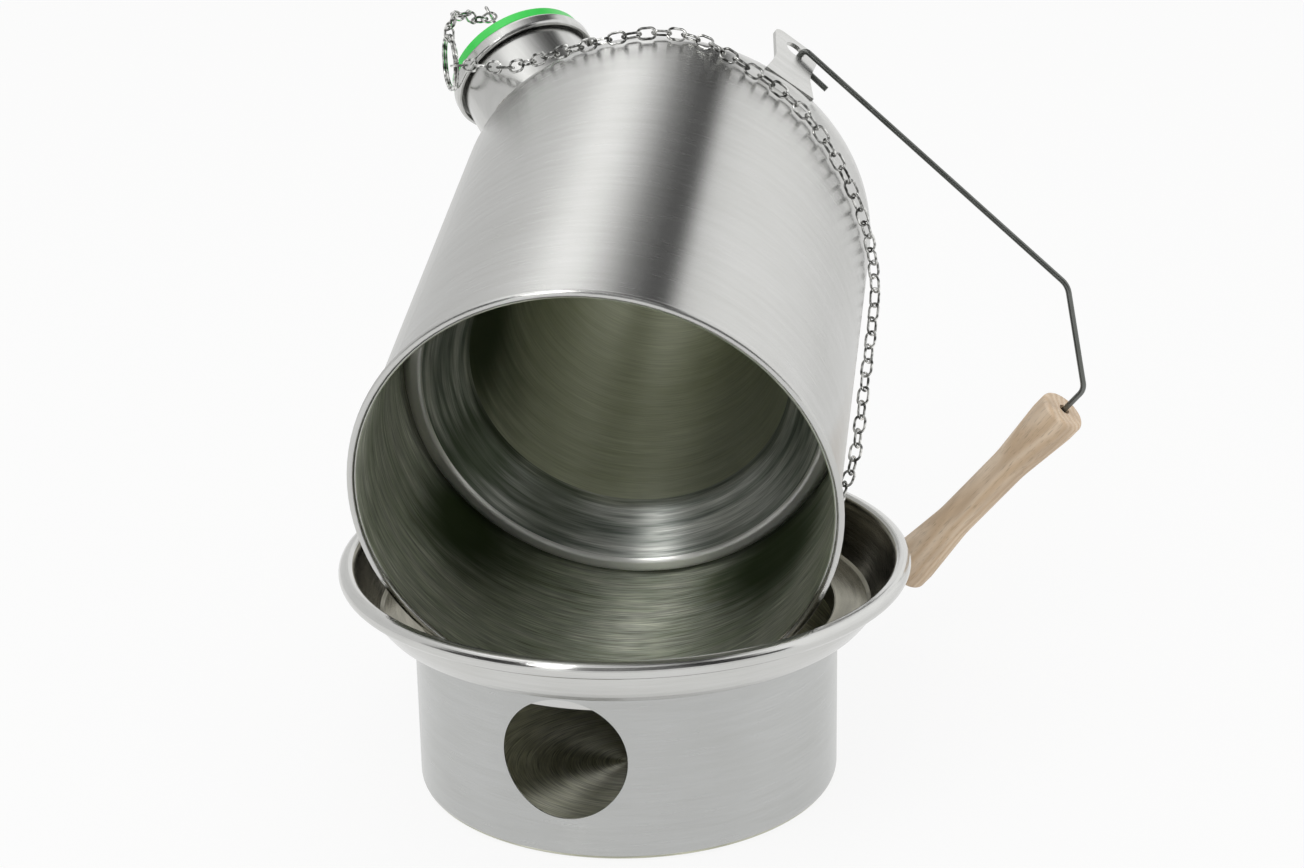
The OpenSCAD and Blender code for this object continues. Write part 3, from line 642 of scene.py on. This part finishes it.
# %% Growth rings
waver = add(tree, "TexNoise", drift, Scale=1 / WAVER_SIZE, Detail=2.0)
from_heart = add(tree, "VectorMath", place, HEART, operation="SUBTRACT")
cut = add(tree, "VectorMath", from_heart, (1, 1, RING_SLOPE), operation="MULTIPLY")
distance = add(tree, "VectorMath", cut, operation="LENGTH")
moved = add(tree, "Math", waver, WAVER, operation="MULTIPLY")
wavy = add(tree, "Math", distance, moved, operation="ADD")
years = add(tree, "Math", wavy, 2 * math.pi / RING_WIDTH, operation="MULTIPLY")
wave = add(tree, "Math", years, operation="SINE")
half_wave = add(tree, "Math", wave, 0.5, operation="MULTIPLY")
ring = add(tree, "Math", half_wave, 0.5, operation="ADD")
print("growth rings", round(RING_WIDTH / MM, 1), "mm wide")

# %% Turned wood
# Beech, turned on a lathe and sanded: matt and warm, with soft rings and fine dark flecks.
PORE_LENGTH = 6 * MM
PORE_WIDTH = 0.35 * MM
PORE_DEPTH = 0.08 * MM
PORE_STRENGTH = 0.35
PORE_RANGE = (0.56, 0.72)
PORE_SHARE = 0.5
PATCH_SIZE = 6.25 * MM
PATCH_RANGE = (0.4, 0.7)
PATCH_SHARE = 0.75
WOOD_ROUGHNESS = (0.5, 0.7)

pores = streaks(tree, place, along_grip, PORE_LENGTH, PORE_WIDTH, detail=2.0)
pore = add(tree, "MapRange", pores, *PORE_RANGE)
flecks = add(tree, "Math", pore, PORE_SHARE, operation="MULTIPLY")
patch = add(tree, "TexNoise", drift, Scale=1 / PATCH_SIZE, Detail=3.0)
handled = add(tree, "MapRange", patch, *PATCH_RANGE, 0.0, PATCH_SHARE)
wood = add(tree, "Mix", ring, linear("#E8D3BA"), linear("#DABF9F"), data_type="RGBA")
wood = add(tree, "Mix", handled, wood, linear("#BFA78D"), data_type="RGBA")
wood = add(tree, "Mix", flecks, wood, linear("#9A826A"), data_type="RGBA")
rough = add(tree, "MapRange", pores, 0.0, 1.0, *WOOD_ROUGHNESS)
dent = add(tree, "Bump", Height=pore, Strength=PORE_STRENGTH, Distance=-PORE_DEPTH)
shader = add(tree, "BsdfPrincipled", Base_Color=wood, Roughness=rough, Normal=dent, IOR=1.45)
add(tree, "OutputMaterial", Surface=shader)
dress(turned_wood, "grip")

# %% [markdown]
# The stopper is moulded in bright green plastic. A flat green would do for the colour, but moulded
# parts are glossy with a very slight orange peel, and their pigment is a little uneven, so noise
# gives both.

# %% Moulded plastic
# Polyethylene, injection moulded: a clean glossy green, with a highlight that breaks up softly.
PIGMENT_SIZE = 8.33 * MM
PEEL_SIZE = 0.8 * MM
PEEL_DEPTH = 0.05 * MM
PEEL_STRENGTH = 0.12
PLASTIC_ROUGHNESS = (0.16, 0.3)

green_plastic = bpy.data.materials.new("moulded_green_plastic")
tree = empty_tree(green_plastic)
spot = add(tree, "TexCoord").outputs["Object"]
pigment = add(tree, "TexNoise", spot, Scale=1 / PIGMENT_SIZE, Detail=3.0)
peel = add(tree, "TexNoise", spot, Scale=1 / PEEL_SIZE, Detail=2.0)
green = add(tree, "Mix", pigment, linear("#34CC4B"), linear("#4FE468"), data_type="RGBA")
rough = add(tree, "MapRange", peel, 0.0, 1.0, *PLASTIC_ROUGHNESS)
dent = add(tree, "Bump", Height=peel, Strength=PEEL_STRENGTH, Distance=PEEL_DEPTH)
shader = add(tree, "BsdfPrincipled", Base_Color=green, Roughness=rough, Normal=dent, IOR=1.5)
add(tree, "OutputMaterial", Surface=shader)
dress(green_plastic, "stopper_body")

# %% [markdown]
# The chain hangs free between the stopper's ring and the kettle's shoulder, and when the stopper is
# pulled, that short run follows it. Here its links are made as one mesh along a smooth route
# between the two. A link is a tube round a stadium: two half circles joined by straight sides.
# Sizes from here on are in millimetres, in the upright kettle's frame, as in the CAD source, and
# one function leans the finished points.

# %% Tubes, routes and the lean
def of_kettle(points):
    """Where points of the upright kettle, in millimetres, lie in metres once it leans: turned by
    the lean and moved by the rim's centre."""
    return points * MM @ np.array(LEAN).T + np.array(RIM_CENTRE)


def tube(path, radius, sides, up):
    """Grid of a closed tube: at each point of the closed path a circle of that radius stands
    across the path, turned from the direction up."""
    ahead_of = np.roll(path, -1, 0) - np.roll(path, 1, 0)
    ahead_of = ahead_of / np.linalg.norm(ahead_of, axis=1, keepdims=True)
    wide = np.cross(ahead_of, up)
    wide = wide / np.linalg.norm(wide, axis=1, keepdims=True)
    tall = np.cross(wide, ahead_of)
    angle = np.linspace(0, 2 * np.pi, sides, endpoint=False)[None, :, None]
    circle = np.cos(angle) * wide[:, None] + np.sin(angle) * tall[:, None]
    return path[:, None] + radius * circle


def smooth_route(points, steps=8):
    """Catmull-Rom curve: between two points a cubic whose slope at each is half the way between
    that point's neighbours."""
    p = np.vstack([points[:1], points, points[-1:]])
    a, b, c, d = (p[k:len(p) - 3 + k][:, None] for k in range(4))
    t = (np.arange(steps) / steps)[None, :, None]
    curve = 0.5 * (2 * b + (c - a) * t + (2 * a - 5 * b + 4 * c - d) * t ** 2
        + (3 * b - a - 3 * c + d) * t ** 3)
    return np.vstack([curve.reshape(-1, 3), points[-1:]])


# %% Links along a route
LINK_LENGTH, LINK_WIDTH, LINK_WIRE, LINK_PITCH = 7.2, 4.8, 0.9, 5.3
LINK_STEPS, LINK_SIDES = 28, 10


def link_grid(centre, along, flat):
    """One link: a stadium path with its long side along, lying in the plane of along and flat."""
    bend = (LINK_WIDTH - LINK_WIRE) / 2
    straight = (LINK_LENGTH - LINK_WIDTH) / 2
    angle = np.linspace(0, 2 * np.pi, LINK_STEPS, endpoint=False) + np.pi / LINK_STEPS
    x = bend * np.cos(angle) + straight * np.sign(np.cos(angle))
    y = bend * np.sin(angle)
    path = centre + x[:, None] * along + y[:, None] * flat
    return tube(path, LINK_WIRE / 2, LINK_SIDES, np.cross(along, flat))


def chain_links(route):
    """Grids of links at even steps along the route, each turned a quarter from the one before.
    Outward is the way out from the kettle's axis, less its part along the link."""
    steps = np.linalg.norm(np.diff(route, axis=0), axis=1)
    run = np.concatenate([[0], np.cumsum(steps)])
    count = math.ceil(run[-1] / LINK_PITCH)
    stops = np.linspace(0, run[-1], count + 1)
    joints = np.stack([np.interp(stops, run, route[:, k]) for k in range(3)], -1)
    grids = []
    for number, (a, b) in enumerate(zip(joints[:-1], joints[1:])):
        along = (b - a) / np.linalg.norm(b - a)
        wall = (a + b) / 2 * (1, 1, 0)
        outward = wall - along * (wall @ along)
        outward = outward / np.linalg.norm(outward)
        quarter = 1 if number % 2 == 0 else -1
        flat = (outward + quarter * np.cross(along, outward)) / math.sqrt(2)
        grids.append(link_grid((a + b) / 2, along, flat))
    return np.stack(grids)


# %% Free links of the chain
BODY_RADIUS = 72.7
# Turn from the spout in degrees, height above the rim and distance from the wall.
FREE_POINTS = np.array([[-1.26, 188.02, 18.75], [3.03, 184.04, 13.85], [6.84, 180.97, 9.05],
    [10.84, 177.62, 5.62], [14.9, 175.4, 4.2], [18.3, 173.6, 3.5], [22.3, 171.9, 2.9],
    [26, 170.6, 2.7]])

turns, heights, gaps = smooth_route(FREE_POINTS).T
turns = np.radians(turns)
free_route = np.stack([(BODY_RADIUS + gaps) * np.cos(turns), (BODY_RADIUS + gaps) * np.sin(turns),
    heights], -1)
free_links = surface("free_links", of_kettle(chain_links(free_route)), closed=True)
free_links.data.materials.append(chain_metal_with_painted_reflections)
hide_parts("chain_free")
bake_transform(free_links)

# %% [markdown]
# The spout is a tube welded to the body. The weld is a fine bead along the curve where the tube
# meets the wall and the shoulder. A Boolean could cut that curve out, but the bead would have to be
# cleaned by hand. Here it is found on a grid of lines down the tube: each line is followed until it
# comes out of the body, and the bead is a thin rippled tube along those points.

# %% Curve of the spout's foot
SHOULDER_HEIGHT = 176.8
SPOUT_TILT = math.radians(40.84)
SPOUT_MOUTH = np.array([65.4, 0, 208])
SPOUT_RADIUS = 24.3
DEPTHS = np.linspace(-60, 0, 1200)
WELD_STEPS = 240
WALL_GAP = 0.05

spout_axis = np.array([math.sin(SPOUT_TILT), 0, math.cos(SPOUT_TILT)])
spout_side = np.array([0, 1, 0])
spout_up = np.cross(spout_axis, spout_side)
angle = np.linspace(0, 2 * np.pi, WELD_STEPS, endpoint=False)[:, None]
mouth = SPOUT_MOUTH + SPOUT_RADIUS * (np.cos(angle) * spout_side + np.sin(angle) * spout_up)
lines = mouth[:, None] + DEPTHS[None, :, None] * spout_axis
radius = np.hypot(lines[..., 0], lines[..., 1])
cone_height = SHOULDER_HEIGHT + (BODY_RADIUS - radius) * math.tan(SPOUT_TILT)
clear = (radius > BODY_RADIUS + WALL_GAP) | (lines[..., 2] > cone_height)
first = np.argmax(clear, axis=1)
weld_path = lines[np.arange(WELD_STEPS), first]
print("weld depths", DEPTHS[first].min().round(1), DEPTHS[first].max().round(1), "mm")

# %% Weld bead
WELD_RADIUS = 0.42
WELD_SIDES = 10
RIPPLE = 0.07
RIPPLE_STEP = 1.3

thickness = WELD_RADIUS * (1 + RIPPLE * np.sin(np.arange(WELD_STEPS) * RIPPLE_STEP))
bead = tube(weld_path, 1.0, WELD_SIDES, spout_axis)
bead = weld_path[:, None] + (bead - weld_path[:, None]) * thickness[:, None, None]
spout_weld = surface("spout_weld", of_kettle(bead), closed=True)

# Stainless steel weld, laid by a torch and brushed off: a thin line, a little brown from the heat.
weld_steel = plain_metal("weld_bead_steel", "#C2BFB8", "#8D857A", (0.2, 0.4), grain=2 * MM)
spout_weld.data.materials.append(weld_steel)
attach(spout_weld, "kettle")

# %% [markdown]
# Colours are shown as they are written, so the view transform is Standard. The visual model has to
# stay inside the CAD model's box.

# %% View transform
bpy.context.scene.view_settings.view_transform = "Standard"
